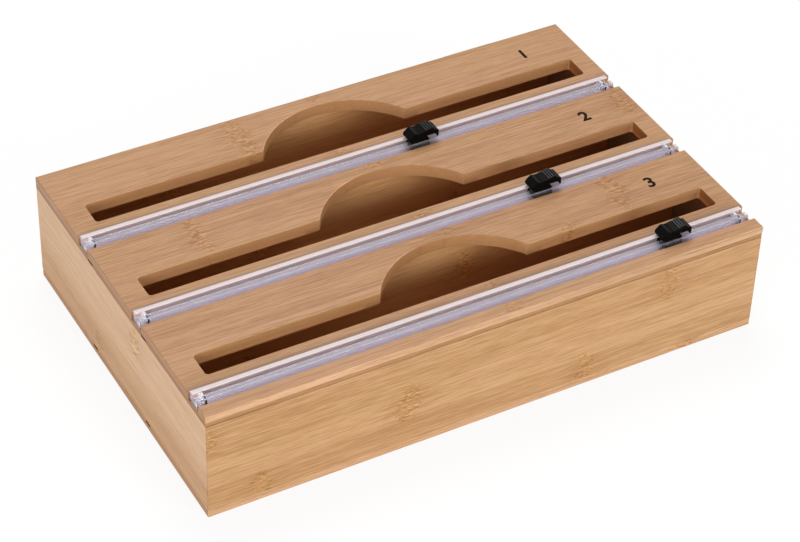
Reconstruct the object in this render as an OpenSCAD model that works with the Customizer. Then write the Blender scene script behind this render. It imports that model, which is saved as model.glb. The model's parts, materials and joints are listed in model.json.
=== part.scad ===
// Bamboo kitchen wrap dispenser with three bays, a hinged lid and a slide cutter for each bay.
// X runs along the rolls, Y from the front to the back and Z up. Millimetres.
// The origin is the middle of the base board's underside.

/* [Box] */
// Length of the box, along the rolls
box_w = 360; // [345:1:420]
// Height of the box without its lid, from the underside of the base
box_h = 67.5; // [50:0.1:90]
// Clear width of one bay, front to back
bay_w = 68.1; // [66:0.1:80]
// Thickness of the four outer walls
wall_t = 8.8; // [7:0.1:12]
// Thickness of the base board
base_t = 5.2; // [4:0.1:10]
// Thickness of the two dividers
divider_t = 6; // [4:0.5:9]
// Depth of the housings that hold the dividers, in the base and in the lid
housing_d = 1.8; // [1:0.1:2.2]
// Room beside a divider in its housing
housing_gap = 0.2; // [0.1:0.05:0.5]

/* [Lid] */
// Thickness of the lid board
lid_t = 7.9; // [7.6:0.1:14]
// Height of the finger rebate under the lid's front edge
finger_h = 3.2; // [1:0.1:4]
// Depth of the finger rebate, front to back
finger_d = 0.5; // [0.3:0.1:1.4]

/* [Wrap slots] */
// Wood left between a wrap slot and the left end of the lid
slot_left = 15; // [10:0.5:20]
// Wood left between a wrap slot and the right end of the lid
slot_right = 12.5; // [10:0.5:20]
// Width of a wrap slot
slot_w = 17.7; // [12:0.1:20]
// Corner radius of a wrap slot
slot_r = 2; // [0.5:0.5:5]
// How far a slot's middle lies in front of its bay's middle
slot_shift = 3.6; // [2:0.1:4.5]
// Radius of the thumb arch behind a slot
arch_r = 56.5; // [45:0.5:75]
// How far the arch reaches behind the slot's back edge
arch_d = 27.4; // [15:0.1:28]

/* [Rails] */
// Width of the groove that holds a rail
groove_w = 12.3; // [11.8:0.1:12.6]
// Depth of the groove that holds a rail
groove_d = 4.6; // [4:0.1:5]
// How far a groove's middle lies in front of its slot's middle
groove_shift = 23.8; // [22:0.1:24.4]
// How far a rail's left end lies inside the lid's left end
rail_left = 0.5; // [0.5:0.1:12]
// How far a rail's right end lies inside the lid's right end
rail_right = 3.6; // [0.5:0.1:12]
// Width of a rail
rail_w = 10.4; // [9.6:0.1:11]
// Height of a rail
rail_h = 6.3; // [5:0.1:7]
// Thickness of a rail's floor and side walls
rail_wall = 1; // [0.8:0.1:1.3]
// Thickness of a rail's inward lips
lip_t = 0.9; // [0.7:0.1:1.2]
// Radius along a rail's outer top edges
rail_edge_r = 0.6; // [0.3:0.1:1.2]
// Width of the opening between the lips
rail_mouth = 3.2; // [2.6:0.1:4]
// How far the middle of that opening lies behind the rail's middle
mouth_shift = 0.5; // [0:0.1:0.8]
// Gap between a rail and the back wall of its groove
rail_back_gap = 0.7; // [0.1:0.1:0.8]
// Thickness of the double-sided tape under a rail
tape_t = 0.3; // [0.2:0.05:0.6]
// Width of the tape
tape_w = 8; // [5:0.5:9]
// Length of an end stop in a rail
stop_l = 1.4; // [1:0.1:6]
// Distance from a rail's end to its end stop
stop_inset = 4.6; // [1:0.1:12]
// Running clearance of a shoe inside its rail
shoe_gap = 0.3; // [0.2:0.05:0.4]

/* [Cutters] */
// Where the cutter of the rear bay stands along its rail
cutter_x_1 = 41.7; // [-150:0.1:150]
// Where the cutter of the middle bay stands along its rail
cutter_x_2 = 83.4; // [-150:0.1:150]
// Where the cutter of the front bay stands along its rail
cutter_x_3 = 126.7; // [-150:0.1:150]
// Length of a cutter's grip
grip_l = 21.3; // [20:0.1:28]
// Width of a cutter's grip, front to back
grip_w = 8.8; // [8:0.1:12]
// Height of a grip's ribbed crest above its rail
grip_h = 8.5; // [7.6:0.1:9]
// How far the crest lies to the right of the grip's middle
crest_x = 5.2; // [3:0.1:5.6]
// Height of the nose and of the thumb rest above the rail
rest_h = 7; // [6.6:0.1:7.2]
// Height of the heel above the rail
heel_h = 6.3; // [6.1:0.1:7]
// Height of the gap that the film runs through
film_gap = 3.3; // [2.8:0.1:3.6]
// How far the film gap's inner end lies to the right of the grip's middle
throat_x = 2; // [1.5:0.1:3]
// How far the boss slopes out below the inner end of the film gap
boss_slope = 2; // [1:0.1:2.5]
// Gap between a grip's boss and the rail's lips
boss_gap = 0.35; // [0.3:0.05:0.5]
// Height of a grip's beak above the rail
beak_gap = 0.8; // [0.5:0.1:1.2]
// Length of the beak that leads the film in
beak_l = 1.6; // [1.2:0.1:2]
// How far the beak's inner face leans back
beak_lean = 1; // [0.5:0.1:1.5]
// Radius of the beak's tip
beak_r = 0.8; // [0.4:0.1:1]
// Length of the sloping nose of a grip
nose_l = 4.2; // [2:0.1:4.4]
// How far the nose is cut back below its tip
nose_cut = 2; // [1:0.1:2.2]
// Height of the nose's tip above the rail
nose_h = 3.4; // [2:0.1:4]
// Radius of the rounded heel of a grip
heel_r = 3.2; // [2:0.1:3.4]
// Length of the thumb dip in a grip's top
dip_l = 6; // [4:0.1:6.2]
// Depth of the thumb dip
dip_d = 0.7; // [0.3:0.1:0.9]
// How far the thumb dip's middle lies to the left of the grip's middle
dip_shift = 3.2; // [3:0.1:3.4]
// Radius of a grip's corners, seen from above
grip_corner_r = 1.5; // [0.5:0.1:2]
// Radius along a grip's long top edges
grip_edge_r = 0.8; // [0.4:0.1:1.2]
// Number of finger ribs on a grip
rib_count = 5; // [3:1:6]
// Distance from one rib to the next
rib_pitch = 1.4; // [1.2:0.1:1.6]
// Depth of the grooves between the ribs
rib_d = 0.6; // [0.2:0.05:0.7]
// Length of a shoe's foot inside the rail
foot_l = 12; // [10:0.5:14]
// How far a shoe's middle lies to the left of its grip's middle
shoe_shift = 2; // [1.5:0.1:3]
// Length of a shoe's neck
neck_l = 6; // [4:0.5:7]
// Height of the neck above the rail, up to the blade
neck_h = 1.3; // [1:0.05:1.5]
// Thickness of a blade
blade_t = 0.4; // [0.3:0.05:0.6]
// How far a blade's edge runs out along the roof of the film gap
blade_reach = 4; // [2:0.1:5]
// Height of a blade
blade_h = 3.2; // [2.8:0.1:3.4]
// Room beside a blade in its slit
blade_gap = 0.05; // [0.02:0.01:0.1]

/* [Hinges] */
// Distance from an end of the box to the middle of the hinge near it
hinge_inset = 65; // [40:1:100]
// Length of a hinge
hinge_l = 34; // [24:1:50]
// Thickness of a hinge leaf
leaf_t = 1; // [0.8:0.1:1.2]
// Radius of a hinge knuckle
knuckle_r = 2; // [1.8:0.1:2.4]
// Radius of a hinge pin
pin_r = 1; // [0.8:0.05:1.1]
// Running clearance between a pin and its knuckles
pin_gap = 0.05; // [0.02:0.01:0.09]
// Room between a knuckle and what turns past it
knuckle_gap = 0.3; // [0.2:0.05:0.5]
// Height of a lid leaf above the hinge axis
lid_leaf_h = 7.2; // [6.9:0.1:7.4]
// Height of a box leaf below the hinge axis
box_leaf_h = 14; // [10:0.5:20]
// Distance between a leaf's two screws
screw_pitch = 22; // [14:1:24]
// Radius of a screw's shank
screw_r = 1.1; // [0.9:0.05:1.3]
// Radius of a screw's countersunk head
screw_head_r = 2; // [1.7:0.1:2.3]
// Length of a screw in the wood
screw_l = 6; // [4:0.5:6.5]
// Room round a screw in its holes
screw_gap = 0.05; // [0.02:0.01:0.1]

/* [Magnets] */
// Distance from an end of the box to the magnet near it
magnet_inset = 30; // [15:1:100]
// Radius of a magnet
magnet_r = 2.5; // [1.5:0.1:2.6]
// Height of a magnet
magnet_h = 3; // [2:0.5:4]
// Room round a magnet in its pocket
magnet_gap = 0.05; // [0.02:0.01:0.1]
// Air gap between a lid magnet and a box magnet
magnet_air = 0.3; // [0.2:0.05:0.6]

/* [Hidden] */
$fn = 64;
over = 1;
arc_step = 15;
bays = 3;
sides = [-1, 1];
bay_pitch = bay_w + divider_t;
box_d = bays * bay_w + (bays - 1) * divider_t + 2 * wall_t;
lid_top = box_h + lid_t;
half_w = box_w / 2;
half_d = box_d / 2;
slot_l = box_w - slot_left - slot_right;
slot_x = (slot_left - slot_right) / 2;
rail_l = box_w - rail_left - rail_right;
rail_x = (rail_left - rail_right) / 2;
hinge_x = half_w - hinge_inset;
magnet_x = half_w - magnet_inset;
housing_w = divider_t + 2 * housing_gap;
inner_w = box_w - 2 * wall_t;
housing_floor = base_t - housing_d;
housing_roof = box_h + housing_d;
divider_top = housing_roof - housing_gap;

rail_y_shift = groove_shift - groove_w / 2 + rail_back_gap + rail_w / 2;
rail_z = lid_top - groove_d + tape_t;
rail_top = rail_z + rail_h;
cavity_w = rail_w - 2 * rail_wall;
cavity_h = rail_h - rail_wall - lip_t;
foot_w = cavity_w - 2 * shoe_gap;
foot_h = cavity_h - 2 * shoe_gap;
neck_w = rail_mouth - 2 * shoe_gap;
dip_r = (dip_l * dip_l / 4 + dip_d * dip_d) / (2 * dip_d);
cutter_x = [cutter_x_1, cutter_x_2, cutter_x_3];

axis_y = half_d + knuckle_r + knuckle_gap;
axis_z = box_h;
knuckle_l = (hinge_l - 2 * knuckle_gap) / 3;
leaf_relief = knuckle_r + 2 * knuckle_gap;
magnet_y = -half_d + wall_t / 2;

bamboo = "#d2a36d";
bamboo_lid = "#c99b70";
clear_plastic = "#dcd8e6";
tape_white = "#eeeae6";
black_plastic = "#1c1c1e";
steel = "#b9bcc0";
nickel = "#c8c6c0";

// Places of what repeats: bay 1 is at the back and bay 3 at the front.
function bay_y(bay) = (2 - bay) * bay_pitch;
function slot_y(bay) = bay_y(bay) - slot_shift;
function groove_y(bay) = slot_y(bay) - groove_shift;
function rail_y(bay) = slot_y(bay) - rail_y_shift;

// Extrudes a profile drawn in Y and Z along X, about the middle.
module along_x(length) {
    rotate([90, 0, 90])
        linear_extrude(length, center = true)
            children();
}

// Extrudes a profile drawn in X and Z along Y, about the middle.
module along_y(length) {
    rotate([90, 0, 0])
        linear_extrude(length, center = true)
            children();
}

// A cylinder that runs from a point towards the front.
module to_front(length, r1, r2) {
    rotate([90, 0, 0])
        cylinder(h = length, r1 = r1, r2 = r2);
}

module round_rect(size, r) {
    square([size.x - 2 * r, size.y], center = true);
    square([size.x, size.y - 2 * r], center = true);
    for (sx = sides, sy = sides)
        translate([sx * (size.x / 2 - r), sy * (size.y / 2 - r)])
            circle(r);
}

// A rectangle that stands on its lower side, with rounded top corners.
module round_top(size, r) {
    translate([-size.x / 2, 0])
        square([size.x, size.y - r]);
    translate([-size.x / 2 + r, 0])
        square([size.x - 2 * r, size.y]);
    for (side = sides)
        translate([side * (size.x / 2 - r), size.y - r])
            circle(r);
}

// Grooves along the whole of a board that the dividers stand in.
module divider_housings(low, high) {
    for (y = [-bay_pitch / 2, bay_pitch / 2])
        translate([-half_w - over, y - housing_w / 2, low])
            cube([box_w + 2 * over, housing_w, high - low]);
}

module magnet_pockets(low, high) {
    for (side = sides)
        translate([side * magnet_x, magnet_y, low])
            cylinder(h = high - low, r = magnet_r + magnet_gap);
}

// The box: a base board, four mitred walls and two dividers.
module base_board() {
    color(bamboo)
        difference() {
            translate([-half_w, -half_d, 0])
                cube([box_w, box_d, base_t]);
            divider_housings(housing_floor, base_t + over);
        }
}

// One wall of the box, along a side of the given length, mitred at both ends.
module mitred_wall(length) {
    translate([0, 0, base_t])
        linear_extrude(box_h - base_t)
            polygon([
                [-length / 2, 0],
                [length / 2, 0],
                [length / 2 - wall_t, wall_t],
                [-length / 2 + wall_t, wall_t]
            ]);
}

module front_wall() {
    color(bamboo)
        difference() {
            translate([0, -half_d, 0])
                mitred_wall(box_w);
            magnet_pockets(box_h - magnet_h, box_h + over);
        }
}

module back_wall() {
    color(bamboo)
        difference() {
            translate([0, half_d, 0])
                rotate(180)
                    mitred_wall(box_w);
            leaf_screws_at(box_screw_z(), screw_gap);
        }
}

module end_panel(side) {
    color(bamboo)
        translate([side * half_w, 0, 0])
            rotate(side * 90)
                mitred_wall(box_d);
}

module divider(y) {
    color(bamboo)
        translate([-inner_w / 2, y - divider_t / 2, housing_floor])
            cube([inner_w, divider_t, divider_top - housing_floor]);
}

// The lid: one board with a slot, an arch and a rail groove over each bay.
module slot_cut(bay) {
    translate([slot_x, slot_y(bay), box_h - over])
        linear_extrude(lid_t + 2 * over)
            round_rect([slot_l, slot_w], slot_r);
    arch_cut(bay);
}

module arch_cut(bay) {
    back_edge = slot_y(bay) + slot_w / 2;
    intersection() {
        translate([0, back_edge + arch_d - arch_r, box_h - over])
            cylinder(h = lid_t + 2 * over, r = arch_r);
        translate([-arch_r, slot_y(bay), box_h - 2 * over])
            cube([2 * arch_r, arch_d + slot_w, lid_t + 4 * over]);
    }
}

module rail_groove(bay) {
    translate([-half_w - over, groove_y(bay) - groove_w / 2, lid_top - groove_d])
        cube([box_w + 2 * over, groove_w, groove_d + over]);
}

module finger_rebate() {
    translate([-half_w - over, -half_d - over, box_h - over])
        cube([box_w + 2 * over, finger_d + over, finger_h + over]);
}

module lid_board() {
    color(bamboo_lid)
        difference() {
            translate([-half_w, -half_d, box_h])
                cube([box_w, box_d, lid_t]);
            for (bay = [1:bays]) {
                slot_cut(bay);
                rail_groove(bay);
            }
            divider_housings(box_h - over, housing_roof);
            finger_rebate();
            magnet_pockets(box_h - over, box_h + magnet_air + magnet_h);
            leaf_screws_at(lid_screw_z(), screw_gap);
        }
}

// Magnets that hold the lid shut at the front.
module box_magnets() {
    color(nickel)
        for (side = sides)
            translate([side * magnet_x, magnet_y, box_h - magnet_h])
                cylinder(h = magnet_h, r = magnet_r);
}

module lid_magnets() {
    color(nickel)
        for (side = sides)
            translate([side * magnet_x, magnet_y, box_h + magnet_air])
                cylinder(h = magnet_h, r = magnet_r);
}

// Rails: a clear channel with two inward lips, taped into its groove, with a stop at each end.
module rail_profile() {
    difference() {
        round_top([rail_w, rail_h], rail_edge_r);
        translate([-cavity_w / 2, rail_wall])
            square([cavity_w, cavity_h]);
        translate([mouth_shift - rail_mouth / 2 - lip_t / 2, rail_wall])
            square([rail_mouth + lip_t, rail_h]);
    }
    for (side = sides)
        translate([mouth_shift + side * (rail_mouth + lip_t) / 2, rail_h - lip_t / 2])
            circle(lip_t / 2);
}

module rail(bay) {
    color(clear_plastic, 0.5)
        translate([rail_x, rail_y(bay), rail_z])
            along_x(rail_l)
                rail_profile();
}

module rail_tape(bay) {
    color(tape_white)
        translate([rail_x - rail_l / 2, rail_y(bay) - tape_w / 2, rail_z - tape_t])
            cube([rail_l, tape_w, tape_t]);
}

// A stop is a thin plate that fills the channel's cavity under the lips.
module rail_stops(bay) {
    from_middle = rail_l / 2 - stop_inset - stop_l / 2;
    color(clear_plastic)
        for (side = sides)
            translate([rail_x + side * from_middle, rail_y(bay), rail_z + rail_wall])
                along_x(stop_l)
                    translate([-cavity_w / 2, 0])
                        square([cavity_w, cavity_h]);
}

// Slide cutters: a ribbed grip over the rail, a shoe inside it and a blade between them.
module at_cutter(bay) {
    translate([cutter_x[bay - 1], rail_y(bay), rail_top])
        children();
}

// The grip from the side: a nose that is cut back below its tip, a thumb rest, a crest, a round heel, and a
// film gap on the right between the beak and the boss.
module grip_side() {
    half = grip_l / 2;
    heel = [for (a = [0:arc_step:90])
        [half - heel_r + heel_r * sin(a), heel_h - heel_r + heel_r * cos(a)]];
    beak = [for (a = [0:arc_step:90])
        [half - beak_r + beak_r * cos(a), beak_gap + beak_r - beak_r * sin(a)]];
    polygon(concat(
        [
            [-half + nose_cut, boss_gap],
            [-half, nose_h],
            [-half + nose_l, rest_h],
            [0, rest_h],
            [crest_x, grip_h]
        ],
        heel,
        beak,
        [
            [half - beak_l, beak_gap],
            [half - beak_l - beak_lean, film_gap],
            [throat_x, film_gap],
            [throat_x + boss_slope, boss_gap]
        ]
    ));
}

// The grooves between the ribs, which follow the crest at an even depth.
module rib_grooves() {
    rib_end = grip_l / 2 - heel_r;
    along_y(grip_w + 2 * over)
        intersection() {
            polygon([
                [0, rest_h - rib_d],
                [crest_x, grip_h - rib_d],
                [rib_end, heel_h - rib_d],
                [rib_end, grip_h + over],
                [0, grip_h + over]
            ]);
            for (i = [1:rib_count])
                translate([rib_end - i * rib_pitch, 0])
                    square([rib_pitch / 2, grip_h + over]);
        }
}

// A shallow dip for the thumb between the nose and the ribs.
module thumb_dip() {
    translate([-dip_shift, 0, rest_h - dip_d + dip_r])
        along_y(grip_w + 2 * over)
            circle(dip_r);
}

module cutter_grip(bay) {
    color(black_plastic)
        at_cutter(bay)
            difference() {
                intersection() {
                    along_y(grip_w)
                        grip_side();
                    along_x(grip_l)
                        round_top([grip_w, grip_h], grip_edge_r);
                    linear_extrude(grip_h)
                        round_rect([grip_l, grip_w], grip_corner_r);
                }
                rib_grooves();
                thumb_dip();
                translate([0, mouth_shift, 0])
                    along_y(blade_t + 2 * blade_gap)
                        blade_side();
                translate([-shoe_shift - neck_l / 2, mouth_shift - neck_w / 2, 0])
                    cube([neck_l, neck_w, neck_h]);
            }
}

// A shoe slides in the rail's cavity, and its neck stands through the mouth into the grip.
module cutter_shoe(bay) {
    foot_z = rail_wall + shoe_gap - rail_h;
    color(black_plastic)
        at_cutter(bay) {
            translate([-shoe_shift - foot_l / 2, -foot_w / 2, foot_z])
                cube([foot_l, foot_w, foot_h]);
            translate([-shoe_shift - neck_l / 2, mouth_shift - neck_w / 2, foot_z])
                cube([neck_l, neck_w, neck_h - foot_z]);
        }
}

// The blade from the side: it stands on the neck, and its slanting edge crosses the film gap's inner end.
module blade_side() {
    neck_left = -shoe_shift - neck_l / 2;
    neck_right = -shoe_shift + neck_l / 2;
    polygon([
        [neck_left, neck_h],
        [neck_right, neck_h],
        [throat_x + blade_reach, film_gap],
        [throat_x + blade_reach, neck_h + blade_h],
        [neck_left, neck_h + blade_h]
    ]);
}

module cutter_blade(bay) {
    color(steel)
        at_cutter(bay)
            translate([0, mouth_shift, 0])
                along_y(blade_t)
                    blade_side();
}

// Hinges: two small butt hinges on the back, each with three knuckles on one pin.
function box_screw_z() = axis_z - (leaf_relief + box_leaf_h) / 2;
function lid_screw_z() = axis_z + (leaf_relief + lid_leaf_h) / 2;

// Countersunk screws through the leaves, at a given height, with some room all round.
module leaf_screws_at(z, room) {
    for (hinge = sides, side = sides)
        translate([hinge * hinge_x + side * screw_pitch / 2, half_d, z]) {
            translate([0, leaf_t, 0])
                to_front(leaf_t, screw_head_r + room, screw_r + room);
            to_front(screw_l + room, screw_r + room, screw_r + room);
        }
}

module knuckle(place) {
    translate([place * (knuckle_l + knuckle_gap) - knuckle_l / 2, axis_y, axis_z])
        rotate([0, 90, 0])
            cylinder(h = knuckle_l, r = knuckle_r);
}

module pin_bore() {
    translate([-hinge_l / 2 - over, axis_y, axis_z])
        rotate([0, 90, 0])
            cylinder(h = hinge_l + 2 * over, r = pin_r + pin_gap);
}

// The tongue that joins a knuckle to its leaf, on the side given by up.
module knuckle_tongue(place, up) {
    low = up > 0 ? axis_z : axis_z - leaf_relief;
    translate([place * (knuckle_l + knuckle_gap) - knuckle_l / 2, half_d, low])
        cube([knuckle_l, leaf_t, leaf_relief]);
}

module box_leaf(side) {
    color(nickel)
        difference() {
            translate([side * hinge_x, 0, 0])
                difference() {
                    union() {
                        translate([-hinge_l / 2, half_d, axis_z - box_leaf_h])
                            cube([hinge_l, leaf_t, box_leaf_h - leaf_relief]);
                        for (place = sides) {
                            knuckle(place);
                            knuckle_tongue(place, -1);
                        }
                    }
                    pin_bore();
                }
            leaf_screws_at(box_screw_z(), screw_gap);
        }
}

module lid_leaf(side) {
    color(nickel)
        difference() {
            translate([side * hinge_x, 0, 0])
                difference() {
                    union() {
                        translate([-hinge_l / 2, half_d, axis_z + leaf_relief])
                            cube([hinge_l, leaf_t, lid_leaf_h - leaf_relief]);
                        knuckle(0);
                        knuckle_tongue(0, 1);
                    }
                    pin_bore();
                }
            leaf_screws_at(lid_screw_z(), screw_gap);
        }
}

module hinge_pin(side) {
    color(steel)
        translate([side * hinge_x - hinge_l / 2, axis_y, axis_z])
            rotate([0, 90, 0])
                cylinder(h = hinge_l, r = pin_r);
}

module box_leaf_screws() {
    color(nickel)
        leaf_screws_at(box_screw_z(), 0);
}

module lid_leaf_screws() {
    color(nickel)
        leaf_screws_at(lid_screw_z(), 0);
}

base_board();
front_wall();
back_wall();
end_panel(-1);  // left_end
end_panel(1);  // right_end
divider(bay_pitch / 2);  // rear_divider
divider(-bay_pitch / 2);  // front_divider
box_magnets();
box_leaf(-1);  // left_hinge_box_leaf
box_leaf(1);  // right_hinge_box_leaf
hinge_pin(-1);  // left_hinge_pin
hinge_pin(1);  // right_hinge_pin
box_leaf_screws();
lid_board();
lid_magnets();
lid_leaf(-1);  // left_hinge_lid_leaf
lid_leaf(1);  // right_hinge_lid_leaf
lid_leaf_screws();
rail(1);  // rail_1
rail(2);  // rail_2
rail(3);  // rail_3
rail_tape(1);  // rail_tape_1
rail_tape(2);  // rail_tape_2
rail_tape(3);  // rail_tape_3
rail_stops(1);  // rail_stops_1
rail_stops(2);  // rail_stops_2
rail_stops(3);  // rail_stops_3
cutter_grip(1);  // cutter_grip_1
cutter_grip(2);  // cutter_grip_2
cutter_grip(3);  // cutter_grip_3
cutter_shoe(1);  // cutter_shoe_1
cutter_shoe(2);  // cutter_shoe_2
cutter_shoe(3);  // cutter_shoe_3
cutter_blade(1);  // cutter_blade_1
cutter_blade(2);  // cutter_blade_2
cutter_blade(3);  // cutter_blade_3
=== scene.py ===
# %% [markdown]
# # A bamboo wrap dispenser
#
# The object is a flat bamboo box with three long bays for rolls of wrap. Its hinged lid has a slot, a thumb arch
# and a clear rail with a black slide cutter over each bay. The sizes come from the CAD model, which is loaded here
# as a fixed frame, so this lesson is about finishes: laminated bamboo, clear and black plastic, steel and nickel.

# %% Load the frame
import json
import math

import bmesh
import bpy
from mathutils import Matrix, Vector


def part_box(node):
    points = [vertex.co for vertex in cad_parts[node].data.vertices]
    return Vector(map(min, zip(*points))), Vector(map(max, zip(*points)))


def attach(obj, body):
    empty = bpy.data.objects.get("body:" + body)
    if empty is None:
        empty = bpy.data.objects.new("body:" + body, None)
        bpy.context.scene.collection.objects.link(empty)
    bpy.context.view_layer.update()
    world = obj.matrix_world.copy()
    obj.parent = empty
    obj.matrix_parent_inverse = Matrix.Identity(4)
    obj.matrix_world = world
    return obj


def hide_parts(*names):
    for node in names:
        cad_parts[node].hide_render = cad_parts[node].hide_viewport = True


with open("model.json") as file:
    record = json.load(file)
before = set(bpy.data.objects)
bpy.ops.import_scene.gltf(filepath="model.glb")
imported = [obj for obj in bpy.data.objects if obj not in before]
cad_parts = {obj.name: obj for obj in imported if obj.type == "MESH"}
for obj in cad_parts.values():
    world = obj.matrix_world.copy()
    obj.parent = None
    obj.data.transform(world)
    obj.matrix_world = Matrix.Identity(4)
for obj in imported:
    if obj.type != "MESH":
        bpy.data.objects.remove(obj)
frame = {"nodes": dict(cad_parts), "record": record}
nodes = frame["nodes"]
body_of_node = {node: body for body, names in frame["record"]["behaviour"]["bodies"].items() for node in names}
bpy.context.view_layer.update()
MM = 0.001
BAYS = (1, 2, 3)
SIDES = ("left", "right")

# %% [markdown]
# ## Camera
#
# The photograph was taken with a long lens from the front left, looking down at about 40 degrees, and the camera
# leaned over a little. These values were found by fitting a box of the real size to the edges in the picture, so
# the render can be laid over the photograph.

# %% Camera
PICTURE_WIDTH_PX = 800
FOCAL_LENGTH_PX = 2594.7
SENSOR_MM = 36.0
CAMERA_PLACE = Vector((-0.5961, -1.0412, 1.0181))
CAMERA_AZIMUTH = math.radians(-29.936)
CAMERA_ELEVATION = math.radians(39.688)
CAMERA_ROLL = math.radians(2.001)

camera = bpy.data.objects.new("camera", bpy.data.cameras.new("camera"))
bpy.context.collection.objects.link(camera)
camera.data.sensor_width = SENSOR_MM
camera.data.lens = FOCAL_LENGTH_PX / PICTURE_WIDTH_PX * SENSOR_MM
towards = Vector((
    -math.sin(CAMERA_AZIMUTH) * math.cos(CAMERA_ELEVATION),
    math.cos(CAMERA_AZIMUTH) * math.cos(CAMERA_ELEVATION),
    -math.sin(CAMERA_ELEVATION),
))
turn = towards.to_track_quat("-Z", "Y").to_matrix().to_4x4() @ Matrix.Rotation(CAMERA_ROLL, 4, "Z")
camera.matrix_world = Matrix.Translation(CAMERA_PLACE) @ turn
bpy.context.scene.camera = camera
print("camera with a", round(camera.data.lens), "mm lens")

# %% [markdown]
# ## Small helpers for node trees
#
# Every finish below is a tree of shader nodes. A few helpers keep the trees readable: they add a node and fill its
# inputs, either with a value or with a link from another node, do arithmetic between sockets, and start a group or
# a material.

# %% Node helpers


def fill(tree, socket, value):
    """Links a socket to another one, or sets it to a plain value."""
    if isinstance(value, bpy.types.NodeSocket):
        tree.links.new(value, socket)
    else:
        socket.default_value = value


def add(tree, kind, inputs=None, **settings):
    """Adds a node with its settings, and fills its inputs by name."""
    node = tree.nodes.new(kind)
    for name, value in settings.items():
        setattr(node, name, value)
    for name, value in (inputs or {}).items():
        fill(tree, node.inputs[name], value)
    return node


def calc(tree, operation, first, second=0.0, third=0.0):
    """One step of arithmetic on sockets or numbers."""
    node = add(tree, "ShaderNodeMath", operation=operation)
    for socket, value in zip(node.inputs, (first, second, third)):
        fill(tree, socket, value)
    return node.outputs[0]


def fade(tree, value, start, end):
    """Goes smoothly from 0 at start to 1 at end. A falling fade has its start above its end."""
    low, high = min(start, end), max(start, end)
    to_low, to_high = (0.0, 1.0) if start < end else (1.0, 0.0)
    inputs = {"Value": value, "From Min": low, "From Max": high, "To Min": to_low, "To Max": to_high}
    return add(tree, "ShaderNodeMapRange", inputs, interpolation_type="SMOOTHSTEP").outputs["Result"]


def blend_colour(tree, factor, first, second, blend_type="MIX"):
    """Mixes two colours, each a socket or a plain colour."""
    node = add(tree, "ShaderNodeMix", data_type="RGBA", blend_type=blend_type)
    fill(tree, node.inputs[0], factor)
    fill(tree, node.inputs[6], first)
    fill(tree, node.inputs[7], second)
    return node.outputs[2]


def noise(tree, vector, detail=3.0, roughness=0.55):
    """Soft noise from 0 to 1, with the scale already in the vector."""
    inputs = {"Vector": vector, "Scale": 1.0, "Detail": detail, "Roughness": roughness}
    return add(tree, "ShaderNodeTexNoise", inputs).outputs["Fac"]


def stretched(tree, along, across, through, rates, shift=0.0):
    """A noise vector that changes at its own rate, per millimetre, in each direction of a board."""
    scaled = [calc(tree, "MULTIPLY_ADD", value, rate, shift) for value, rate in zip((along, across, through), rates)]
    return add(tree, "ShaderNodeCombineXYZ", {"X": scaled[0], "Y": scaled[1], "Z": scaled[2]}).outputs[0]


def new_group(name, inputs, outputs):
    """An empty shader group with named sockets, and its input and output nodes."""
    tree = bpy.data.node_groups.new(name, "ShaderNodeTree")
    for socket, kind in inputs.items():
        tree.interface.new_socket(socket, in_out="INPUT", socket_type=kind)
    for socket, kind in outputs.items():
        tree.interface.new_socket(socket, in_out="OUTPUT", socket_type=kind)
    return tree, tree.nodes.new("NodeGroupInput"), tree.nodes.new("NodeGroupOutput")


def use_group(tree, group, inputs):
    """Places a group in a tree and returns its output sockets by name."""
    node = tree.nodes.new("ShaderNodeGroup")
    node.node_tree = group
    for name, value in inputs.items():
        fill(tree, node.inputs[name], value)
    return node.outputs


def new_material(name, **principled):
    """A material with a Principled BSDF, whose plain values are set on its own sockets."""
    material = bpy.data.materials.new(name)
    material.use_nodes = True
    tree = material.node_tree
    surface = tree.nodes["Principled BSDF"]
    for socket, value in principled.items():
        surface.inputs[socket.replace("_", " ")].default_value = value
    return material, tree, surface


NUMBER = "NodeSocketFloat"
VECTOR = "NodeSocketVector"
print("helpers ready")

# %% [markdown]
# ## Studio
#
# The product was cut out on white. A pale floor that is white to the camera gives the same ground and still takes
# a soft shadow. The light is plain: a dim white room and three big soft boxes, low at the front and at the left
# and high behind. Low light and the pale floor fill the walls, and little of it gets down through the lid, so the
# bays stay dark as they do on a table.

# %% Studio
ROOM_LIGHT = 0.22
FLOOR_SHADOW = 0.14
FLOOR_GLOW = 1.03
FLOOR_SIZE = 12.0
FLOOR_COLOUR = (0.90, 0.90, 0.90, 1.0)
FLOOR_ROUGHNESS = 0.9
WHITE = (1.0, 1.0, 1.0, 1.0)
LIT_PLACE = Vector((0, 0, 0.04))


def seen_directly(tree):
    """1 for rays that show the background itself: seen, mirrored or through something clear."""
    path = add(tree, "ShaderNodeLightPath")
    mirrored = calc(tree, "MAXIMUM", path.outputs["Is Glossy Ray"], path.outputs["Is Transmission Ray"])
    return calc(tree, "MAXIMUM", path.outputs["Is Camera Ray"], mirrored)


def light_room():
    world = bpy.data.worlds.new("white room")
    bpy.context.scene.world = world
    world.use_nodes = True
    tree = world.node_tree
    strength = add(tree, "ShaderNodeMix", {"Factor": seen_directly(tree), "A": ROOM_LIGHT, "B": 1.0})
    tree.links.new(strength.outputs["Result"], tree.nodes["Background"].inputs["Strength"])
    tree.nodes["Background"].inputs["Color"].default_value = WHITE


def soft_box(name, place, width, power):
    lamp = bpy.data.lights.new(name, "AREA")
    lamp.size = width
    lamp.energy = power
    box = bpy.data.objects.new(name, lamp)
    bpy.context.collection.objects.link(box)
    box.location = place
    box.rotation_euler = (LIT_PLACE - Vector(place)).to_track_quat("-Z", "Y").to_euler()


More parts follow.
